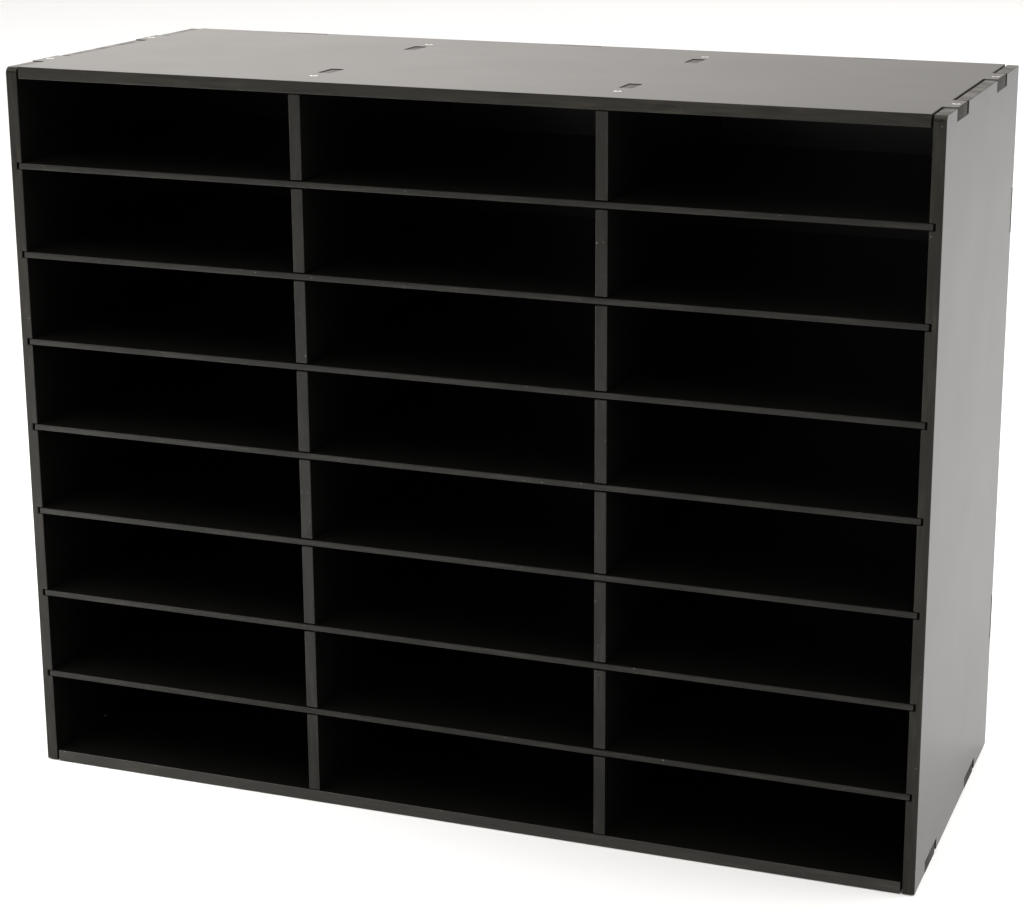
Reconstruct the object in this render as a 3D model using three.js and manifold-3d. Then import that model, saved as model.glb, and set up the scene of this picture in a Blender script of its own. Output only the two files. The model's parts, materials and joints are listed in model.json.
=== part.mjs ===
// Pigeonhole mail sorter: a knock-down case of laminated board with removable shelves.
// Millimetres; X to the right, Y to the back, Z up; the case stands on Z = 0, centred on X and Y.
import * as THREE from 'three';
import { mergeVertices } from 'three/addons/utils/BufferGeometryUtils.js';
import Module from 'manifold-3d';

const wasm = await Module();
wasm.setup();

// Overall size and layout
const WIDTH = 743;
const DEPTH = 298;
const HEIGHT = 585;
const COLUMNS = 3;
const ROWS = 8;

// Board thicknesses: the case and dividers, then the shelves, then the back
const BOARD = 9.5;
const SHELF = 4.8;
const BACK = 4.8;

// Clearances
const FIT = 0.3;
const END_GAP = 1.5;
const DIVIDER_GAP = 0.6;
const BACK_GAP = 0.1;
const SLOT_PLAY = 1;
const MORTISE_PLAY = 0.5;
const NOTCH_REAR_PLAY = 6;
const BACK_TAB_PLAY = 0.4;
const SHELF_REAR_GAP = 0.7;
const SHELF_END_GAP = 1.5;
const LAP_PLAY = 0.5;

// Joinery; the top and bottom panels stand proud of the sides and the divider tenons
const PROUD = 0.6;
const GROOVE_DEPTH = 4.5;
const CORNER_RADIUS = 5;
const SHELF_CORNER = 1.5;
const TAB_LENGTH = 37;
const TAB_FROM_FRONT = 57;
const TAB_FROM_REAR = 80;
const TENON_LENGTH = 24;
const TENON_FROM_FRONT = 65;
const TENON_FROM_REAR = 70.5;
const BACK_TAB_LENGTH = 38;
const BACK_TAB_SPACING = 255;
const BACK_TAB_FROM_END = 117.5;

// Screws
const HEAD_RADIUS = 3.5;
const HEAD_RIM = 0.4;
const HEAD_HEIGHT = 2.4;
const SHANK_RADIUS = 1.5;
const POINT_LENGTH = 3;
const CASE_SCREW = 25;
const BACK_SCREW = 20;
const SCREW_SINK = 0.2;
const RECESS_LENGTH = 4;
const RECESS_WIDTH = 0.9;
const RECESS_DEPTH = 1.3;
const SCREW_SIDES = 16;
const SCREW_FROM_FRONT = 35;
const SCREW_FROM_REAR = 41;
const BACK_SCREW_FROM_END = 120;

// Places that follow from the sizes above
const FRONT = -DEPTH / 2;
const REAR = DEPTH / 2;
const OUTER = WIDTH / 2;
const INNER = OUTER - BOARD;
const COLUMN_CLEAR = (WIDTH - (COLUMNS + 1) * BOARD) / COLUMNS;
const ROW_CLEAR = (HEIGHT - 2 * BOARD - (ROWS - 1) * SHELF) / ROWS;
const DIVIDER_X = (COLUMN_CLEAR + BOARD) / 2;
const BACK_FRONT = REAR - BACK;
const SHELF_REAR = BACK_FRONT - SHELF_REAR_GAP;
const LAP = (FRONT + SHELF_REAR) / 2;
const TAB_X = OUTER - BOARD / 2;
const TAB_YS = [FRONT + TAB_FROM_FRONT, REAR - TAB_FROM_REAR];
const TENON_YS = [FRONT + TENON_FROM_FRONT, REAR - TENON_FROM_REAR];
const SCREW_YS = [FRONT + SCREW_FROM_FRONT, REAR - SCREW_FROM_REAR];
const BACK_TAB_XS = [-BACK_TAB_SPACING, 0, BACK_TAB_SPACING];
const BACK_TAB_ZS = [BACK_TAB_FROM_END, HEIGHT - BACK_TAB_FROM_END];
const BACK_SCREW_ZS = [BACK_SCREW_FROM_END, HEIGHT - BACK_SCREW_FROM_END];
const SHELF_ZS = Array.from({ length: ROWS - 1 }, (_, i) => BOARD + ROW_CLEAR + i * (ROW_CLEAR + SHELF));

const laminate = () => new THREE.MeshStandardMaterial({ color: '#1b1b1a', roughness: 0.32, metalness: 0 });
const zinc = () => new THREE.MeshStandardMaterial({ color: '#b8b8b4', roughness: 0.35, metalness: 1 });

// A closed three.js geometry as a solid for cutting and joining
function solid(geometry) {
  const bare = geometry.clone();
  bare.deleteAttribute('normal');
  bare.deleteAttribute('uv');
  const merged = mergeVertices(bare, 1e-4);
  const mesh = new wasm.Mesh({
    numProp: 3,
    vertProperties: new Float32Array(merged.attributes.position.array),
    triVerts: new Uint32Array(merged.index.array),
  });
  return new wasm.Manifold(mesh);
}

// A named mesh made from a solid
function piece(name, body, material) {
  const mesh = body.getMesh();
  const geometry = new THREE.BufferGeometry();
  geometry.setAttribute('position', new THREE.BufferAttribute(new Float32Array(mesh.vertProperties), 3));
  geometry.setIndex(new THREE.BufferAttribute(new Uint32Array(mesh.triVerts), 1));
  const flat = geometry.toNonIndexed();
  flat.computeVertexNormals();
  const node = new THREE.Mesh(flat, material);
  node.name = name;
  return node;
}

// A block between two corners
function block(x0, x1, y0, y1, z0, z1) {
  const geometry = new THREE.BoxGeometry(x1 - x0, y1 - y0, z1 - z0);
  geometry.translate((x0 + x1) / 2, (y0 + y1) / 2, (z0 + z1) / 2);
  return solid(geometry);
}

// A board lying flat, from an outline in X and Y
function flatBoard(outline, thickness, z0) {
  const geometry = new THREE.ExtrudeGeometry(outline, { depth: thickness, bevelEnabled: false, curveSegments: 6 });
  geometry.translate(0, 0, z0);
  return solid(geometry);
}

// A board standing front to back, from an outline in Y and Z
function uprightBoard(outline, thickness, x0) {
  const geometry = new THREE.ExtrudeGeometry(outline, { depth: thickness, bevelEnabled: false, curveSegments: 6 });
  const turn = new THREE.Matrix4().makeBasis(
    new THREE.Vector3(0, 1, 0),
    new THREE.Vector3(0, 0, 1),
    new THREE.Vector3(1, 0, 0),
  );
  geometry.applyMatrix4(turn);
  geometry.translate(x0, 0, 0);
  return solid(geometry);
}

function rectangle(u0, u1, v0, v1) {
  const shape = new THREE.Shape();
  shape.moveTo(u0, v0);
  shape.lineTo(u1, v0);
  shape.lineTo(u1, v1);
  shape.lineTo(u0, v1);
  shape.closePath();
  return shape;
}

// Side outline with its upper front corner rounded
function sideOutline() {
  const shape = new THREE.Shape();
  const crest = HEIGHT - PROUD;
  shape.moveTo(FRONT, PROUD);
  shape.lineTo(REAR, PROUD);
  shape.lineTo(REAR, crest);
  shape.lineTo(FRONT + CORNER_RADIUS, crest);
  shape.absarc(FRONT + CORNER_RADIUS, crest - CORNER_RADIUS, CORNER_RADIUS, Math.PI / 2, Math.PI, false);
  shape.closePath();
  return shape;
}

// Shelf outline with its two front corners eased
function shelfOutline() {
  const half = INNER + GROOVE_DEPTH - SHELF_END_GAP;
  const shape = new THREE.Shape();
  shape.moveTo(-half + SHELF_CORNER, FRONT);
  shape.lineTo(half - SHELF_CORNER, FRONT);
  shape.absarc(half - SHELF_CORNER, FRONT + SHELF_CORNER, SHELF_CORNER, -Math.PI / 2, 0, false);
  shape.lineTo(half, SHELF_REAR);
  shape.lineTo(-half, SHELF_REAR);
  shape.lineTo(-half, FRONT + SHELF_CORNER);
  shape.absarc(-half + SHELF_CORNER, FRONT + SHELF_CORNER, SHELF_CORNER, Math.PI, Math.PI * 1.5, false);
  return shape;
}

// A turned form about Z with its head facing up; grow widens it into the hole that takes it
function turned(length, grow) {
  const profile = [
    new THREE.Vector2(0, -length - grow),
    new THREE.Vector2(SHANK_RADIUS + grow, -length + POINT_LENGTH - grow),
    new THREE.Vector2(SHANK_RADIUS + grow, -HEAD_HEIGHT - grow),
    new THREE.Vector2(HEAD_RADIUS + grow, -HEAD_RIM - grow),
    new THREE.Vector2(HEAD_RADIUS + grow, grow > 0 ? 1 : 0),
    new THREE.Vector2(0, grow > 0 ? 1 : 0),
  ];
  const geometry = new THREE.LatheGeometry(profile, SCREW_SIDES);
  geometry.rotateX(Math.PI / 2);
  return geometry;
}

function screwBody(length) {
  const along = block(-RECESS_LENGTH / 2, RECESS_LENGTH / 2, -RECESS_WIDTH / 2, RECESS_WIDTH / 2, -RECESS_DEPTH, 1);
  const across = block(-RECESS_WIDTH / 2, RECESS_WIDTH / 2, -RECESS_LENGTH / 2, RECESS_LENGTH / 2, -RECESS_DEPTH, 1);
  return solid(turned(length, 0)).subtract(along.add(across));
}

// Each screw has a place for its head and a turn about X, in degrees, that points the head outwards
const screws = [];
function addScrew(name, length, turn, place) {
  const set = (body) => body.rotate([turn, 0, 0]).translate(place);
  screws.push({ name, body: set(screwBody(length)), hole: set(solid(turned(length, FIT))) });
}

const tabPlaces = [-TAB_X, TAB_X].flatMap((x) => TAB_YS.map((y) => [x, y]));
const linePlaces = [-DIVIDER_X, DIVIDER_X].flatMap((x) => SCREW_YS.map((y) => [x, y]));
const casePlaces = [...tabPlaces, ...linePlaces];
casePlaces.forEach(([x, y], i) => addScrew(`top_screw_${i + 1}`, CASE_SCREW, 0, [x, y, HEIGHT - SCREW_SINK]));
casePlaces.forEach(([x, y], i) => addScrew(`bottom_screw_${i + 1}`, CASE_SCREW, 180, [x, y, SCREW_SINK]));
const backPlaces = [-DIVIDER_X, DIVIDER_X].flatMap((x) => BACK_SCREW_ZS.map((z) => [x, z]));
backPlaces.forEach(([x, z], i) => addScrew(`back_screw_${i + 1}`, BACK_SCREW, -90, [x, REAR - SCREW_SINK, z]));

const drill = (body) => screws.reduce((left, screw) => left.subtract(screw.hole), body);
const cut = (body, tools) => tools.reduce((left, tool) => left.subtract(tool), body);
const join = (body, others) => others.reduce((whole, other) => whole.add(other), body);

// A side panel; side is -1 for the left and 1 for the right
function sidePanel(side) {
  const x0 = side < 0 ? -OUTER : INNER;
  const x1 = x0 + BOARD;
  const floor = INNER + GROOVE_DEPTH;
  const tools = [];
  for (const z of SHELF_ZS) {
    const g0 = side < 0 ? -floor : INNER - 1;
    const g1 = side < 0 ? -INNER + 1 : floor;
    tools.push(block(g0, g1, FRONT - 1, SHELF_REAR + FIT, z - FIT, z + SHELF + FIT));
  }
  for (const y of TAB_YS) {
    const y0 = y - TAB_LENGTH / 2 - FIT;
    const y1 = y + TAB_LENGTH / 2 + NOTCH_REAR_PLAY;
    tools.push(block(x0 - 1, x1 + 1, y0, y1, HEIGHT - BOARD - FIT, HEIGHT + 1));
    tools.push(block(x0 - 1, x1 + 1, y0, y1, -1, BOARD + FIT));
  }
  for (const z of BACK_TAB_ZS) {
    const half = BACK_TAB_LENGTH / 2 + BACK_TAB_PLAY;
    tools.push(block(x0 - 1, x1 + 1, BACK_FRONT - FIT, REAR + 1, z - half, z + half));
  }
  return drill(cut(uprightBoard(sideOutline(), BOARD, x0), tools));
}

// The top or bottom panel, with its lower face at z0
function endPanel(z0) {
  const half = INNER - END_GAP;
  const z1 = z0 + BOARD;
  const tabs = TAB_YS.flatMap((y) => [-1, 1].map((side) => {
    const x0 = side < 0 ? -OUTER : half - 1;
    const x1 = side < 0 ? -half + 1 : OUTER;
    return block(x0, x1, y - TAB_LENGTH / 2, y + TAB_LENGTH / 2, z0, z1);
  }));
  const tools = [];
  for (const x of [-DIVIDER_X, DIVIDER_X]) {
    for (const y of TENON_YS) {
      const reach = TENON_LENGTH / 2 + MORTISE_PLAY;
      tools.push(block(x - BOARD / 2 - FIT, x + BOARD / 2 + FIT, y - reach, y + reach, z0 - 1, z1 + 1));
    }
  }
  for (const x of BACK_TAB_XS) {
    const reach = BACK_TAB_LENGTH / 2 + BACK_TAB_PLAY;
    tools.push(block(x - reach, x + reach, BACK_FRONT - FIT, REAR + 1, z0 - 1, z1 + 1));
  }
  return drill(cut(join(flatBoard(rectangle(-half, half, FRONT, REAR), BOARD, z0), tabs), tools));
}

// The back panel, with tabs out to all four faces of the case
function backPanel() {
  const half = INNER - BACK_GAP;
  const z0 = BOARD + BACK_GAP;
  const z1 = HEIGHT - BOARD - BACK_GAP;
  const reach = BACK_TAB_LENGTH / 2;
  const tabs = [];
  for (const z of BACK_TAB_ZS) {
    tabs.push(block(-OUTER, OUTER, BACK_FRONT, REAR, z - reach, z + reach));
  }
  for (const x of BACK_TAB_XS) {
    tabs.push(block(x - reach, x + reach, BACK_FRONT, REAR, 0, HEIGHT));
  }
  return drill(join(block(-half, half, BACK_FRONT, REAR, z0, z1), tabs));
}

// A divider centred on x, slotted from the front for the shelves
function divider(x) {
  const x0 = x - BOARD / 2;
  const z0 = BOARD + DIVIDER_GAP;
  const z1 = HEIGHT - BOARD - DIVIDER_GAP;
  const body = uprightBoard(rectangle(FRONT, BACK_FRONT - FIT, z0, z1), BOARD, x0);
  const tenons = TENON_YS.map((y) => {
    return block(x0, x0 + BOARD, y - TENON_LENGTH / 2, y + TENON_LENGTH / 2, PROUD, HEIGHT - PROUD);
  });
  const slots = SHELF_ZS.map((z) => {
    return block(x0 - 1, x0 + BOARD + 1, FRONT - 1, LAP + LAP_PLAY, z - SLOT_PLAY, z + SHELF + SLOT_PLAY);
  });
  return drill(cut(join(body, tenons), slots));
}

// A shelf with its underside at z, notched from the rear over the dividers
function shelf(z) {
  const notches = [-DIVIDER_X, DIVIDER_X].map((x) => {
    const reach = BOARD / 2 + FIT;
    return block(x - reach, x + reach, LAP - LAP_PLAY, SHELF_REAR + 1, z - 1, z + SHELF + 1);
  });
  return cut(flatBoard(shelfOutline(), SHELF, z), notches);
}

const sorter = new THREE.Group();
sorter.name = 'pigeonhole_mail_sorter';
sorter.add(piece('left_side_panel', sidePanel(-1), laminate()));
sorter.add(piece('right_side_panel', sidePanel(1), laminate()));
sorter.add(piece('top_panel', endPanel(HEIGHT - BOARD), laminate()));
sorter.add(piece('bottom_panel', endPanel(0), laminate()));
sorter.add(piece('back_panel', backPanel(), laminate()));
sorter.add(piece('left_divider', divider(-DIVIDER_X), laminate()));
sorter.add(piece('right_divider', divider(DIVIDER_X), laminate()));
SHELF_ZS.forEach((z, i) => sorter.add(piece(`shelf_${i + 1}`, shelf(z), laminate())));
screws.forEach((screw) => sorter.add(piece(screw.name, screw.body, zinc())));

export default sorter;
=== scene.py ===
"""Black pigeonhole mail sorter: eased laminated boards and zinc screws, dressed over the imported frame."""
import json
import logging
import math
from dataclasses import dataclass, field, replace
from enum import Enum

import bmesh
import bpy
from mathutils import Matrix, Vector

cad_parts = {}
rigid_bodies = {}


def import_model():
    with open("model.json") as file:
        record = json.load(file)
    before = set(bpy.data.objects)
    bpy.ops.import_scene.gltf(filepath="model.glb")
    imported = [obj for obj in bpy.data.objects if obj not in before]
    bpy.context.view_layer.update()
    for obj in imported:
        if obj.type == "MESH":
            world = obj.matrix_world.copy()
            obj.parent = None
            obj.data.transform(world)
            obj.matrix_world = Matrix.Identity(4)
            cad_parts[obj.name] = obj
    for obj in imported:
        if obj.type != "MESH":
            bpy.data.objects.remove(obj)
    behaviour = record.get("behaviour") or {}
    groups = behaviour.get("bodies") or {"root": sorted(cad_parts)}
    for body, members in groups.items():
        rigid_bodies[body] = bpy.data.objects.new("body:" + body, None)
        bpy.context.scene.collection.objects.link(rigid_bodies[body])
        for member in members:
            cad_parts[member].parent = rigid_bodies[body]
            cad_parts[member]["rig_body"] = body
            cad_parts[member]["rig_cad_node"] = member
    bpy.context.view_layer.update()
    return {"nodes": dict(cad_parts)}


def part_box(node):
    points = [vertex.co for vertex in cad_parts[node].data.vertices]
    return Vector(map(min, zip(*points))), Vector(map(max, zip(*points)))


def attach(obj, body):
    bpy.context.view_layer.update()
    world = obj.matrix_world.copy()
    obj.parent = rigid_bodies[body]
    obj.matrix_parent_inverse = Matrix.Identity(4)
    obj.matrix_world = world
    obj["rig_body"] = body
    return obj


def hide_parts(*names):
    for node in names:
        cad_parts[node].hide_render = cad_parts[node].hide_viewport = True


LOG = logging.getLogger("mail_sorter")
MM = 0.001

# Nearly all values of a noise texture lie between these two
NOISE_LOW = 0.3
NOISE_HIGH = 0.7

# The share of a face's normal along an axis from which it counts as facing that way, and as square to it
TOWARDS_AXIS = 0.9
SQUARE_TO_AXIS = 0.999


class Axis(Enum):
    """A direction of the frame."""

    X = 0
    Y = 1
    Z = 2


class Facing(Enum):
    """The way a screw's head faces, with the turn that brings it there from facing up."""

    UP = Matrix.Identity(4)
    DOWN = Matrix.Rotation(math.pi, 4, "X")
    BACK = Matrix.Rotation(-math.pi / 2, 4, "X")


def linear(colour: str) -> tuple[float, float, float, float]:
    """Turns an sRGB hex colour to linear light.

    Args:
        colour: Six hex digits after a hash.

    Returns:
        Red, green, blue and a full alpha.
    """
    parts = [int(colour[i : i + 2], 16) / 255 for i in (1, 3, 5)]
    light = [p / 12.92 if p <= 0.04045 else ((p + 0.055) / 1.055) ** 2.4 for p in parts]
    return (*light, 1.0)


def new_material(name: str) -> tuple[bpy.types.Material, bpy.types.NodeTree, bpy.types.Node]:
    """Starts a material with nodes.

    Args:
        name: The material's name.

    Returns:
        The material, its nodes and its shader.
    """
    material = bpy.data.materials.new(name)
    material.use_nodes = True
    tree = material.node_tree
    return material, tree, tree.nodes["Principled BSDF"]


def add_node(
    tree: bpy.types.NodeTree, kind: str, inputs: dict | None = None, **settings: object,
) -> bpy.types.Node:
    """Adds a node with its settings, its values and its links.

    Args:
        tree: The material's or world's nodes.
        kind: Blender's name for the node.
        inputs: A value or an output socket for each input, by name or number.
        **settings: The node's own properties.

    Returns:
        The new node.
    """
    node = tree.nodes.new(kind)
    for key, value in settings.items():
        setattr(node, key, value)
    for key, value in (inputs or {}).items():
        if isinstance(value, bpy.types.NodeSocket):
            tree.links.new(value, node.inputs[key])
        else:
            node.inputs[key].default_value = value
    return node


def per_metre(size_mm: float) -> float:
    """Gives the texture scale whose features are about this many millimetres wide."""
    return 1.0 / (size_mm * MM)


def deselect() -> None:
    """Leaves object mode with nothing selected."""
    if bpy.context.object and bpy.context.object.mode != "OBJECT":
        bpy.ops.object.mode_set(mode="OBJECT")
    bpy.ops.object.select_all(action="DESELECT")


def activate(piece: bpy.types.Object) -> None:
    """Selects one piece alone and makes it the active one.

    Args:
        piece: The object to work on.
    """
    deselect()
    piece.select_set(True)
    bpy.context.view_layer.objects.active = piece


def apply_modifier(piece: bpy.types.Object, kind: str, **settings: object) -> None:
    """Adds a modifier to a piece and applies it.

    Args:
        piece: The mesh object.
        kind: Blender's name for the modifier.
        **settings: The modifier's properties.
    """
    activate(piece)
    modifier = piece.modifiers.new(kind.lower(), kind)
    for key, value in settings.items():
        setattr(modifier, key, value)
    bpy.ops.object.modifier_apply(modifier=modifier.name)


@dataclass(frozen=True)
class Laminate:
    """Melamine-faced fibreboard, pressed between satin plates: a black face with a soft, wide gloss."""

    name: str = "satin_black_melamine"
    colour: str = "#060605"
    smudge_colour: str = "#0a0a09"
    roughness_low: float = 0.311
    roughness_high: float = 0.329
    ior: float = 1.49
    smudge_mm: float = 70.0
    pearl_mm: float = 1.6
    pearl_height_mm: float = 0.02
    pearl_strength: float = 0.45

    def make(self) -> bpy.types.Material:
        """Builds the material: faint handling smudges in the gloss over the press plate's fine pearl.

        Returns:
            The laminate.
        """
        material, tree, shader = new_material(self.name)
        place = add_node(tree, "ShaderNodeTexCoord").outputs["Object"]
        smudge = add_node(
            tree, "ShaderNodeTexNoise",
            {"Vector": place, "Scale": per_metre(self.smudge_mm), "Detail": 5.0, "Roughness": 0.6},
        )
        gloss = add_node(
            tree, "ShaderNodeMapRange",
            {"Value": smudge.outputs["Fac"], "From Min": NOISE_LOW, "From Max": NOISE_HIGH,
             "To Min": self.roughness_low, "To Max": self.roughness_high},
        )
        tint = add_node(
            tree, "ShaderNodeMix",
            {"Factor": smudge.outputs["Fac"], "A": linear(self.colour), "B": linear(self.smudge_colour)},
            data_type="RGBA",
        )
        # The real pearl is about 0.4 mm wide; it is drawn coarser so that it shows at this distance.
        pearl = add_node(
            tree, "ShaderNodeTexNoise",
            {"Vector": place, "Scale": per_metre(self.pearl_mm), "Detail": 3.0, "Roughness": 0.55},
        )
        bump = add_node(
            tree, "ShaderNodeBump",
            {"Height": pearl.outputs["Fac"], "Strength": self.pearl_strength,
             "Distance": self.pearl_height_mm * MM},
        )
        tree.links.new(tint.outputs["Result"], shader.inputs["Base Color"])
        tree.links.new(gloss.outputs["Result"], shader.inputs["Roughness"])
        tree.links.new(bump.outputs["Normal"], shader.inputs["Normal"])
        shader.inputs["IOR"].default_value = self.ior
        return material


@dataclass(frozen=True)
class SealedEdge:
    """Sawn fibreboard edge, sealed and sprayed black: duller than the face, and streaked by the saw."""

    name: str = "sprayed_black_case_edge"
    along: Axis = Axis.X
    colour: str = "#080705"
    streak_colour: str = "#2b2820"
    blotch_colour: str = "#14130d"
    chip_colour: str = "#7d7a72"
    roughness_low: float = 0.26
    roughness_high: float = 0.44
    gloss: float = 0.198
    streak_mm: float = 2.2
    streak_stretch: float = 14.0
    blotch_mm: float = 16.0
    blotch_stretch: float = 3.0
    chip_mm: float = 2.4
    chip_level: float = 0.74
    chip_border: float = 0.02
    grit_mm: float = 0.9
    grit_height_mm: float = 0.03
    grit_strength: float = 0.5

    def make(self) -> bpy.types.Material:
        """Builds the material: saw streaks, uneven sealer, a little grit and a few chips in the paint.

        Returns:
            The edge's finish, with its streaks along the edge.
        """
        material, tree, shader = new_material(f"{self.name}_{self.along.name.lower()}")
        place = add_node(tree, "ShaderNodeTexCoord").outputs["Object"]
        streak = self._drawn_out(tree, place, self.streak_mm, self.streak_stretch)
        blotch = self._drawn_out(tree, place, self.blotch_mm, self.blotch_stretch)
        sawn = add_node(
            tree, "ShaderNodeMix",
            {"Factor": streak, "A": linear(self.colour), "B": linear(self.streak_colour)},
            data_type="RGBA",
        )
        tint = add_node(
            tree, "ShaderNodeMix",
            {"Factor": blotch, "A": sawn.outputs["Result"], "B": linear(self.blotch_colour)},
            data_type="RGBA",
        )
        sheen = add_node(
            tree, "ShaderNodeMapRange",
            {"Value": blotch, "To Min": self.roughness_low, "To Max": self.roughness_high},
        )
        knocks = add_node(
            tree, "ShaderNodeTexNoise", {"Vector": place, "Scale": per_metre(self.chip_mm), "Detail": 2.0},
        )
        chips = add_node(
            tree, "ShaderNodeMapRange",
            {"Value": knocks.outputs["Fac"], "From Min": self.chip_level,
             "From Max": self.chip_level + self.chip_border},
        )
        worn = add_node(
            tree, "ShaderNodeMix",
            {"Factor": chips.outputs["Result"], "A": tint.outputs["Result"], "B": linear(self.chip_colour)},
            data_type="RGBA",
        )
        grit = add_node(
            tree, "ShaderNodeTexNoise", {"Vector": place, "Scale": per_metre(self.grit_mm), "Detail": 2.0},
        )
        bump = add_node(
            tree, "ShaderNodeBump",
            {"Height": grit.outputs["Fac"], "Strength": self.grit_strength,
             "Distance": self.grit_height_mm * MM},
        )
        tree.links.new(worn.outputs["Result"], shader.inputs["Base Color"])
        tree.links.new(bump.outputs["Normal"], shader.inputs["Normal"])
        tree.links.new(sheen.outputs["Result"], shader.inputs["Roughness"])
        shader.inputs["Specular IOR Level"].default_value = self.gloss
        return material

    def _drawn_out(
        self, tree: bpy.types.NodeTree, place: bpy.types.NodeSocket, width_mm: float, stretch: float,
    ) -> bpy.types.NodeSocket:
        """Makes a noise drawn out along the edge, with its contrast raised to the full range.

        Args:
            tree: The material's nodes.
            place: The object coordinates.
            width_mm: The width of a mark across the edge.
            stretch: How many times longer it is than wide.

        Returns:
            The noise, from 0 to 1.
        """
        scale = [1.0, 1.0, 1.0]
        scale[self.along.value] = 1.0 / stretch
        drawn = add_node(tree, "ShaderNodeMapping", {"Vector": place, "Scale": scale}).outputs["Vector"]
        noise = add_node(
            tree, "ShaderNodeTexNoise", {"Vector": drawn, "Scale": per_metre(width_mm), "Detail": 4.0},
        )
        full = add_node(
            tree, "ShaderNodeMapRange",
            {"Value": noise.outputs["Fac"], "From Min": NOISE_LOW, "From Max": NOISE_HIGH},
        )
        return full.outputs["Result"]


@dataclass(frozen=True)
class ZincPlate:
    """Bright zinc on steel: a pale cool metal with a faintly cloudy gloss."""

    name: str = "bright_zinc_plate"
    colour: str = "#f4f3ef"
    cloud_colour: str = "#dededa"
    cloud_mm: float = 1.5
    roughness_low: float = 0.14
    roughness_high: float = 0.26

    def make(self) -> bpy.types.Material:
        """Builds the material: plating clouds in its colour and its gloss.

        Returns:
            The plating.
        """
        material, tree, shader = new_material(self.name)
        place = add_node(tree, "ShaderNodeTexCoord").outputs["Object"]
        cloud = add_node(
            tree, "ShaderNodeTexNoise", {"Vector": place, "Scale": per_metre(self.cloud_mm), "Detail": 4.0},
        )
        tint = add_node(
            tree, "ShaderNodeMix",
            {"Factor": cloud.outputs["Fac"], "A": linear(self.colour), "B": linear(self.cloud_colour)},
            data_type="RGBA",
        )
        gloss = add_node(
            tree, "ShaderNodeMapRange",
            {"Value": cloud.outputs["Fac"], "To Min": self.roughness_low, "To Max": self.roughness_high},
        )
        tree.links.new(tint.outputs["Result"], shader.inputs["Base Color"])
        tree.links.new(gloss.outputs["Result"], shader.inputs["Roughness"])
        shader.inputs["Metallic"].default_value = 1.0
        return material


@dataclass(frozen=True)
class PaleFloor:
    """Matt white studio floor, with no gloss at all."""

    name: str = "matt_white_floor"
    colour: str = "#f4f7fa"
    roughness: float = 0.9

    def make(self) -> bpy.types.Material:
        """Builds the plain floor material.

        Returns:
            The floor's finish.
        """
        material, _, shader = new_material(self.name)
        shader.inputs["Base Color"].default_value = linear(self.colour)
        shader.inputs["Roughness"].default_value = self.roughness
        shader.inputs["Specular IOR Level"].default_value = 0.0
        return material


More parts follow.
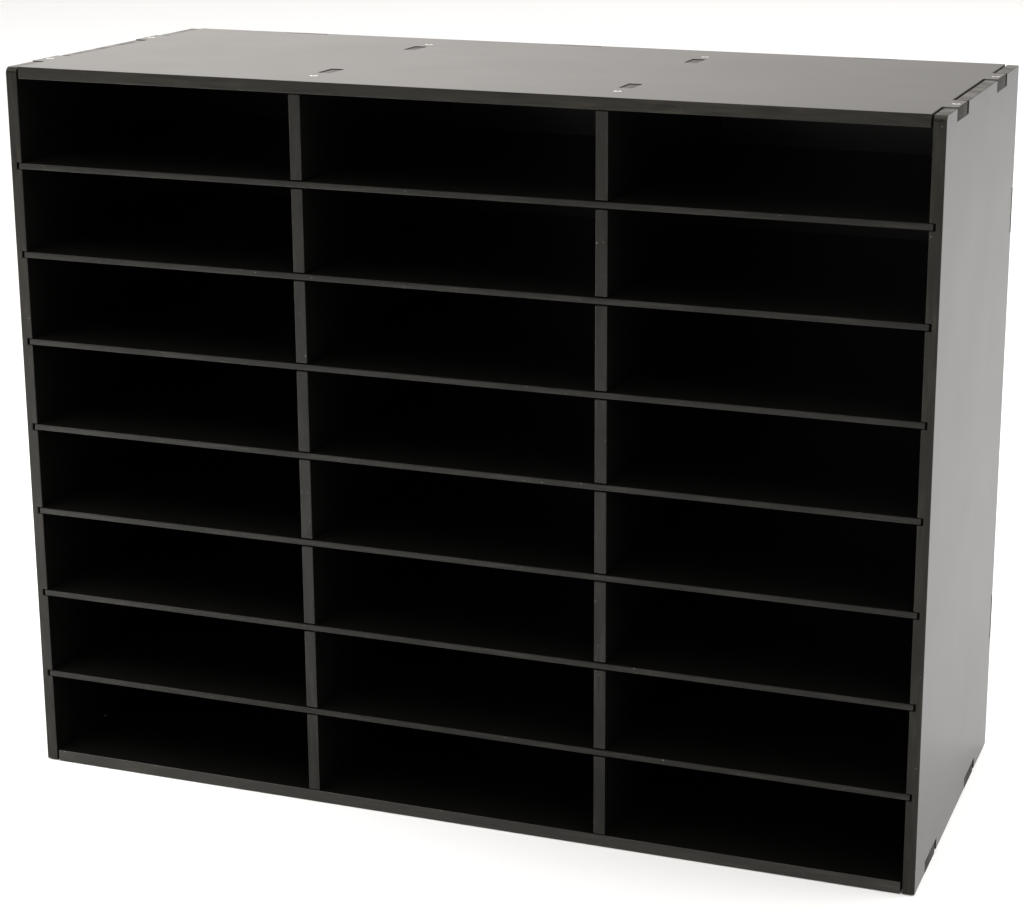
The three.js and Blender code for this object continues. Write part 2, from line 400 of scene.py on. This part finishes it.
@dataclass
class Boards:
    """Boards of one kind, each an eased copy of its solid, with laminated faces and sealed edges."""

    nodes: tuple[str, ...]
    slot: str
    through: Axis
    along: Axis
    arris_mm: float = 0.6
    arris_steps: int = 3
    weld_mm: float = 0.002
    flat_deg: float = 1.0
    hole_margin_mm: float = 0.6
    sharp_deg: float = 45.0
    own_body: bool = False
    pieces: list[bpy.types.Object] = field(default_factory=list)

    def build(self, screw_nodes: list[str]) -> None:
        """Copies each solid, welds it, clears its flat faces and eases its arrises.

        Args:
            screw_nodes: The screws whose holes keep their crisp rims.
        """
        margin = Vector((1, 1, 1)) * self.hole_margin_mm * MM
        holes = [(low - margin, high + margin) for low, high in map(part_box, screw_nodes)]
        for node in self.nodes:
            piece = self._copy(node)
            self._weld(piece)
            self._mark_arrises(piece, holes)
            apply_modifier(
                piece, "BEVEL", limit_method="WEIGHT", width=self.arris_mm * MM, segments=self.arris_steps,
                use_clamp_overlap=False,
            )
            self._keep_inside(piece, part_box(node))
            activate(piece)
            bpy.ops.object.shade_smooth_by_angle(angle=math.radians(self.sharp_deg))
            apply_modifier(piece, "WEIGHTED_NORMAL", keep_sharp=True)
            self._flatten(piece)
            self.pieces.append(piece)

    def dress(self, face: bpy.types.Material, edge: bpy.types.Material, end: bpy.types.Material) -> None:
        """Lays laminate on the wide faces and sealer on every cut, and ties each board to its body.

        Args:
            face: The laminate.
            edge: The sealed long edge.
            end: The sealed cut across the board.
        """
        for node, piece in zip(self.nodes, self.pieces):
            piece.data.materials.clear()
            for finish in (face, edge, end):
                piece.data.materials.append(finish)
            for polygon in piece.data.polygons:
                cut = 2 if abs(polygon.normal[self.along.value]) > TOWARDS_AXIS else 1
                wide = abs(polygon.normal[self.through.value]) > TOWARDS_AXIS
                polygon.material_index = 0 if wide else cut
            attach(piece, node if self.own_body else "case")
            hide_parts(node)
            LOG.info("%s: %d faces", piece.name, len(piece.data.polygons))

    def _copy(self, node: str) -> bpy.types.Object:
        """Duplicates a solid as a free object with its own mesh.

        Args:
            node: The solid's name.

        Returns:
            The copy.
        """
        activate(bpy.data.objects[node])
        bpy.ops.object.duplicate()
        piece = bpy.context.object
        piece.parent = None
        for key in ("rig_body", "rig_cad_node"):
            if key in piece:
                del piece[key]
        piece.name = f"eased_{node}"
        piece.data.name = piece.name
        return piece

    def _weld(self, piece: bpy.types.Object) -> None:
        """Joins the loose triangles and dissolves the seams inside flat faces.

        Args:
            piece: The copied board.
        """
        activate(piece)
        bpy.ops.object.mode_set(mode="EDIT")
        bpy.ops.mesh.select_all(action="SELECT")
        bpy.ops.mesh.remove_doubles(threshold=self.weld_mm * MM)
        bpy.ops.mesh.dissolve_limited(angle_limit=math.radians(self.flat_deg))
        bpy.ops.object.mode_set(mode="OBJECT")

    def _mark_arrises(self, piece: bpy.types.Object, holes: list[tuple[Vector, Vector]]) -> None:
        """Gives bevel weight to the sharp outward edges, apart from those round a screw hole.

        Args:
            piece: The welded board.
            holes: The lowest and highest corner of the space that each screw's hole takes.
        """
        mesh = bmesh.new()
        mesh.from_mesh(piece.data)
        weight = mesh.edges.layers.float.new("bevel_weight_edge")
        for edge in mesh.edges:
            middle = (edge.verts[0].co + edge.verts[1].co) / 2
            in_hole = any(all(low[i] < middle[i] < high[i] for i in range(3)) for low, high in holes)
            sharp = edge.is_manifold and edge.calc_face_angle() > math.radians(self.sharp_deg)
            edge[weight] = 1.0 if sharp and edge.is_convex and not in_hole else 0.0
        mesh.to_mesh(piece.data)
        mesh.free()

    def _keep_inside(self, piece: bpy.types.Object, box: tuple[Vector, Vector]) -> None:
        """Brings back the few corner points that the easing pushed past the solid's own box.

        Args:
            piece: The eased board.
            box: The lowest and highest corner of its solid.
        """
        low, high = box
        for vertex in piece.data.vertices:
            vertex.co = [min(max(vertex.co[i], low[i]), high[i]) for i in range(3)]

    def _flatten(self, piece: bpy.types.Object) -> None:
        """Gives the corners of each wide face its own normal, so that no hole's rim tilts the sheen.

        Args:
            piece: The eased and smoothed board.
        """
        normals = [corner.vector.copy() for corner in piece.data.corner_normals]
        for polygon in piece.data.polygons:
            if abs(polygon.normal[self.through.value]) > SQUARE_TO_AXIS:
                for corner in polygon.loop_indices:
                    normals[corner] = polygon.normal.copy()
        piece.data.normals_split_custom_set(normals)


@dataclass
class Screws:
    """Countersunk wood screws with a cross recess, modelled once and copied to each hole."""

    nodes: tuple[str, ...]
    facing: Facing
    length_mm: float
    slot: str = "screw"
    sides: int = 32
    head_radius_mm: float = 3.45
    rim_mm: float = 0.5
    crown_mm: float = 0.17
    crown_edge_mm: float = 0.1
    crown_inset: float = 0.985
    crown_span: float = 0.95
    crown_steps: int = 5
    neck_mm: float = 2.4
    neck_step_mm: float = 0.02
    root_radius_mm: float = 1.2
    crest_mm: float = 0.42
    crest_half_width: float = 0.3
    pitch_mm: float = 1.6
    steps_per_turn: int = 6
    point_mm: float = 3.0
    point_share: float = 0.15
    bare_tip_mm: float = 0.5
    plain_mm: float = 3.0
    recess_mm: float = 4.4
    recess_width_mm: float = 1.1
    recess_depth_mm: float = 1.8
    recess_taper: float = 0.5
    recess_margin_mm: float = 0.1
    recess_lip_mm: float = 0.35
    crease_deg: float = 35.0
    turn_deg: float = 137.5
    pieces: list[bpy.types.Object] = field(default_factory=list)

    def build(self) -> None:
        """Models one screw and sets a copy, turned a little differently, in each place."""
        master = self._shape()
        self._thread(master)
        self._recess(master)
        self._mark_recess(master)
        activate(master)
        bpy.ops.object.shade_smooth_by_angle(angle=math.radians(self.crease_deg))
        for index, node in enumerate(self.nodes):
            activate(master)
            bpy.ops.object.duplicate()
            piece = bpy.context.object
            piece.name = f"zinc_{node}"
            piece.data.name = piece.name
            turn = Matrix.Rotation(math.radians(self.turn_deg) * index, 4, "Z")
            piece.data.transform(Matrix.Translation(self._head(node)) @ self.facing.value @ turn)
            self.pieces.append(piece)
        bpy.data.objects.remove(master)

    def dress(self, zinc: bpy.types.Material, painted_shade: bpy.types.Material) -> None:
        """Plates each screw and ties it to the case.

        Args:
            zinc: The plating.
            painted_shade: The same plating, darkened to paint the shade that falls in the recess.
        """
        for node, piece in zip(self.nodes, self.pieces):
            for finish in (zinc, painted_shade):
                piece.data.materials.append(finish)
            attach(piece, "case")
            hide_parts(node)
            LOG.info("%s: %d faces", piece.name, len(piece.data.polygons))

    def _head(self, node: str) -> Vector:
        """Finds the middle of the head's outer face for a screw's solid.

        Args:
            node: The solid's name.

        Returns:
            The point, in metres.
        """
        low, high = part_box(node)
        middle = (low + high) / 2
        if self.facing is Facing.UP:
            middle.z = high.z
        elif self.facing is Facing.DOWN:
            middle.z = low.z
        else:
            middle.y = high.y
        return middle

    def _profile(self) -> list[tuple[float, float]]:
        """Works out the screw's outline, with the head's face at height 0.

        Returns:
            Radius and height, in millimetres, from the point up to the middle of the head.
        """
        root, head = self.root_radius_mm, self.head_radius_mm
        foot = self.point_mm - self.length_mm
        rise = self.pitch_mm / self.steps_per_turn
        count = int((self.length_mm - self.point_mm - self.neck_mm) / rise)
        rings = [(root * self.point_share, -self.length_mm)]
        rings += [(root, foot + rise * i) for i in range(count + 1)]
        rings += [(root, -self.neck_mm - self.neck_step_mm), (head, -self.rim_mm)]
        bulge = self.crown_mm - self.crown_edge_mm
        for i in range(self.crown_steps):
            share = 1.0 - self.crown_span * i / (self.crown_steps - 1)
            rings.append((head * share * self.crown_inset, self.crown_mm - bulge * share**2))
        return rings

    def _shape(self) -> bpy.types.Object:
        """Raises the screw from a small disc at its point by extruding and resizing, ring by ring.

        Returns:
            The plain screw, facing up.
        """
        rings = self._profile()
        deselect()
        radius, height = rings[0]
        bpy.ops.mesh.primitive_circle_add(
            vertices=self.sides, radius=radius * MM, fill_type="NGON", location=(0, 0, height * MM),
        )
        screw = bpy.context.object
        bpy.ops.object.transform_apply(location=True, rotation=True, scale=True)
        bpy.ops.object.mode_set(mode="EDIT")
        bpy.ops.mesh.select_all(action="SELECT")
        for (radius, height), (wider, higher) in zip(rings, rings[1:]):
            rise = (0, 0, (higher - height) * MM)
            bpy.ops.mesh.extrude_region_move(TRANSFORM_OT_translate={"value": rise})
            grow = wider / radius
            bpy.ops.transform.resize(value=(grow, grow, 1), center_override=(0, 0, higher * MM))
        bpy.ops.mesh.select_all(action="SELECT")
        bpy.ops.mesh.normals_make_consistent(inside=False)
        bpy.ops.object.mode_set(mode="OBJECT")
        return screw

    def _thread(self, screw: bpy.types.Object) -> None:
        """Raises a helical ridge on the shank, fading at the point and under the head.

        Args:
            screw: The plain screw.
        """
        low = -self.length_mm
        high = -self.neck_mm - self.plain_mm
        for vertex in screw.data.vertices:
            height = vertex.co.z / MM
            if not low + self.bare_tip_mm < height < high:
                continue
            angle = math.atan2(vertex.co.y, vertex.co.x) / (2 * math.pi)
            phase = (height / self.pitch_mm - angle) % 1.0
            ridge = max(0.0, 1.0 - abs(phase - 0.5) / self.crest_half_width)
            fade = min(1.0, (height - low) / self.point_mm, (high - height) / self.pitch_mm)
            radius = vertex.co.xy.length / MM
            grow = (radius + self.crest_mm * ridge * fade) / radius
            vertex.co.x *= grow
            vertex.co.y *= grow

    def _recess(self, screw: bpy.types.Object) -> None:
        """Cuts the tapered cross into the head, one arm pair after the other.

        Args:
            screw: The threaded screw.
        """
        taper = (self.recess_taper, self.recess_taper, 1)
        for quarter in (0.0, math.pi / 2):
            deselect()
            bpy.ops.mesh.primitive_cube_add(size=1)
            cutter = bpy.context.object
            cutter.scale = (self.recess_mm * MM, self.recess_width_mm * MM, self.recess_depth_mm * 2 * MM)
            cutter.rotation_euler = (0, 0, quarter)
            bpy.ops.object.transform_apply(location=True, rotation=True, scale=True)
            bpy.ops.object.mode_set(mode="EDIT")
            bpy.ops.mesh.select_all(action="DESELECT")
            bpy.ops.object.mode_set(mode="OBJECT")
            for vertex in cutter.data.vertices:
                vertex.select = vertex.co.z < 0
            bpy.ops.object.mode_set(mode="EDIT")
            bpy.ops.transform.resize(value=taper, center_override=(0, 0, -self.recess_depth_mm * MM))
            bpy.ops.object.mode_set(mode="OBJECT")
            apply_modifier(screw, "BOOLEAN", operation="DIFFERENCE", object=cutter, solver="EXACT")
            bpy.data.objects.remove(cutter)

    def _mark_recess(self, screw: bpy.types.Object) -> None:
        """Gives the walls and the floor of the cross the second finish, the darker zinc that paints their
        shade.

        Args:
            screw: The screw with its recess.
        """
        reach = (self.recess_mm / 2 + self.recess_margin_mm) * MM
        for polygon in screw.data.polygons:
            inside = polygon.center.xy.length < reach
            sunk = polygon.center.z < -self.recess_lip_mm * MM and polygon.normal.z > 0
            polygon.material_index = 1 if inside and sunk else 0


@dataclass(frozen=True)
class SoftPanel:
    """A square light panel, with a grid that leaves a cone of it open."""

    name: str
    place_m: tuple[float, float, float]
    aim_m: tuple[float, float, float]
    size_m: float
    spread_deg: float
    glow: float

    def hang(self, colour: tuple[float, float, float]) -> None:
        """Makes the light and turns it to its aim. The glow is a radiance, as the sky's strength is.

        Args:
            colour: Its linear red, green and blue.
        """
        data = bpy.data.lights.new(self.name, "AREA")
        data.shape = "SQUARE"
        data.size = self.size_m
        data.spread = math.radians(self.spread_deg)
        data.energy = self.glow * math.pi * self.size_m**2
        data.color = colour
        light = bpy.data.objects.new(self.name, data)
        bpy.context.scene.collection.objects.link(light)
        place = Vector(self.place_m)
        light.location = place
        light.rotation_euler = (Vector(self.aim_m) - place).to_track_quat("-Z", "Y").to_euler()


@dataclass
class Studio:
    """A white floor with soft light, and a camera that stands where the photograph was taken from."""

    eye_m: tuple[float, float, float] = (0.665, -1.715, 0.812)
    azimuth_deg: float = 18.927
    elevation_deg: float = 14.886
    roll_deg: float = -0.278
    lens_mm: float = 81.632
    sensor_mm: float = 36.0
    shift: tuple[float, float] = (-0.0938, -0.0745)
    floor_m: float = 30.0
    floor_gap_mm: float = 0.5
    sky_front: float = 0.55
    sky_rear: float = 1.62
    sky_right: float = 0.55
    front_to_rear: tuple[float, float] = (-0.5, 0.5)
    left_to_right: tuple[float, float] = (-0.5, -0.1)
    tint: str = "#fffaf5"
    panels: tuple[SoftPanel, ...] = (
        SoftPanel("overhead_softbox", (2.4, -0.7, 5.0), (0.0, 0.0, 0.4), 10.5, 180.0, 2.05),
        SoftPanel("front_left_panel", (-1.45, -0.9, 1.1), (-1.35, -0.75, 0.0), 1.5, 90.0, 3.7),
    )

    def build(self, floor_finish: bpy.types.Material) -> None:
        """Makes the floor, the light and the camera.

        Args:
            floor_finish: The floor's material.
        """
        self._floor(floor_finish)
        self._sky()
        for panel in self.panels:
            panel.hang(linear(self.tint)[:3])
        self._camera()
        bpy.context.scene.view_settings.view_transform = "Standard"

    def _floor(self, finish: bpy.types.Material) -> None:
        """Lays the floor just under the sorter.

        Args:
            finish: The floor's material.
        """
        deselect()
        bpy.ops.mesh.primitive_plane_add(size=self.floor_m, location=(0, 0, -self.floor_gap_mm * MM))
        floor = bpy.context.object
        floor.name = "studio_floor"
        floor.data.materials.append(finish)

    def _sky(self) -> None:
        """Fills the room with warm white light that falls off from the left of the rear wall."""
        world = bpy.data.worlds.new("white_room")
        bpy.context.scene.world = world
        world.use_nodes = True
        tree = world.node_tree
        background = tree.nodes["Background"]
        background.inputs["Color"].default_value = linear(self.tint)
        toward = add_node(tree, "ShaderNodeTexCoord").outputs["Generated"]
        part = add_node(tree, "ShaderNodeSeparateXYZ", {"Vector": toward})
        front, rear = self.front_to_rear
        depth = add_node(
            tree, "ShaderNodeMapRange",
            {"Value": part.outputs["Y"], "From Min": front, "From Max": rear,
             "To Min": self.sky_front, "To Max": self.sky_rear},
            interpolation_type="SMOOTHSTEP",
        )
        left, right = self.left_to_right
        across = add_node(
            tree, "ShaderNodeMapRange",
            {"Value": part.outputs["X"], "From Min": left, "From Max": right,
             "To Min": 1.0, "To Max": self.sky_right},
            interpolation_type="SMOOTHSTEP",
        )
        level = add_node(
            tree, "ShaderNodeMath", {0: depth.outputs["Result"], 1: across.outputs["Result"]},
            operation="MULTIPLY",
        )
        tree.links.new(level.outputs["Value"], background.inputs["Strength"])

    def _camera(self) -> None:
        """Sets up the camera, with the lens shift that the photograph's upright correction leaves."""
        data = bpy.data.cameras.new("photo_camera")
        data.sensor_width = self.sensor_mm
        data.lens = self.lens_mm
        data.shift_x, data.shift_y = self.shift
        camera = bpy.data.objects.new("photo_camera", data)
        bpy.context.scene.collection.objects.link(camera)
        around, above, roll = map(math.radians, (self.azimuth_deg, self.elevation_deg, self.roll_deg))
        level_out = math.cos(above)
        back = Vector((math.sin(around) * level_out, -math.cos(around) * level_out, math.sin(above)))
        right = (-back).cross(Vector((0, 0, 1))).normalized()
        down = (-back).cross(right)
        across = right * math.cos(roll) + down * math.sin(roll)
        fall = down * math.cos(roll) - right * math.sin(roll)
        turn = Matrix((across, -fall, back)).transposed()
        camera.matrix_world = Matrix.Translation(self.eye_m) @ turn.to_4x4()
        bpy.context.scene.camera = camera


def dress_boards(names: list[str], screw_nodes: list[str]) -> None:
    """Builds the boards of the case and the shelves, and gives each its finishes.

    Args:
        names: All nodes of the frame.
        screw_nodes: The screws among them.
    """
    shelf_nodes = tuple(name for name in names if name.startswith("shelf_"))
    sides = Boards(("left_side_panel", "right_side_panel"), "case_board", Axis.X, Axis.Z)
    top = Boards(("top_panel",), "case_board", Axis.Z, Axis.X)
    base = Boards(("bottom_panel",), "case_board", Axis.Z, Axis.X)
    back = Boards(("back_panel",), "back_board", Axis.Y, Axis.X, arris_mm=0.4)
    dividers = Boards(("left_divider", "right_divider"), "case_board", Axis.X, Axis.Z)
    shelves = Boards(shelf_nodes, "shelf_board", Axis.Z, Axis.X, arris_mm=0.7, own_body=True)

    laminate = Laminate().make()
    upright_edge = SealedEdge(along=Axis.Z).make()
    back_edge = SealedEdge(along=Axis.X).make()
    top_edge = SealedEdge("sprayed_black_top_edge", gloss=0.24).make()
    base_edge = SealedEdge("sprayed_black_base_edge", gloss=0.415).make()
    inner_edge = SealedEdge(
        "sprayed_black_inner_edge", colour="#070706", streak_colour="#292722", blotch_colour="#12120e",
        gloss=0.208, chip_level=0.725,
    )
    cut_end = SealedEdge(
        "sprayed_black_cut_end", Axis.Y, roughness_low=0.5, roughness_high=0.66, gloss=0.16,
    ).make()
    tenon_end = SealedEdge(
        "sprayed_black_tenon_end", Axis.Y, roughness_low=0.38, roughness_high=0.52, gloss=0.33,
    ).make()
    for boards, edge, end in (
        (sides, upright_edge, upright_edge),
        (top, top_edge, cut_end),
        (base, base_edge, cut_end),
        (back, back_edge, cut_end),
        (dividers, replace(inner_edge, along=Axis.Z).make(), tenon_end),
        (shelves, inner_edge.make(), cut_end),
    ):
        boards.build(screw_nodes)
        boards.dress(laminate, edge, end)


def dress_screws(screw_nodes: list[str]) -> None:
    """Builds the screws of the top, the base and the back, and plates them.

    Args:
        screw_nodes: All screws of the frame.
    """
    zinc = ZincPlate().make()
    # The recess's zinc is darkened to paint the shade that falls in the cross.
    painted_shade = ZincPlate(
        "painted_shade_zinc_recess", "#6a6964", "#484743", roughness_low=0.4, roughness_high=0.55,
    ).make()
    for word, facing, length_mm in (
        ("top", Facing.UP, 25.0),
        ("bottom", Facing.DOWN, 25.0),
        ("back", Facing.BACK, 20.0),
    ):
        nodes = tuple(name for name in screw_nodes if name.startswith(word))
        screws = Screws(nodes, facing, length_mm)
        screws.build()
        screws.dress(zinc, painted_shade)


def main() -> None:
    """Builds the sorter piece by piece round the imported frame."""
    logging.basicConfig(level=logging.INFO, format="%(name)s %(message)s")
    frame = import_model()
    Studio().build(PaleFloor().make())

    names = sorted(frame["nodes"])
    screw_nodes = [name for name in names if "_screw_" in name]
    dress_boards(names, screw_nodes)
    dress_screws(screw_nodes)


if __name__ == "__main__":
    main()
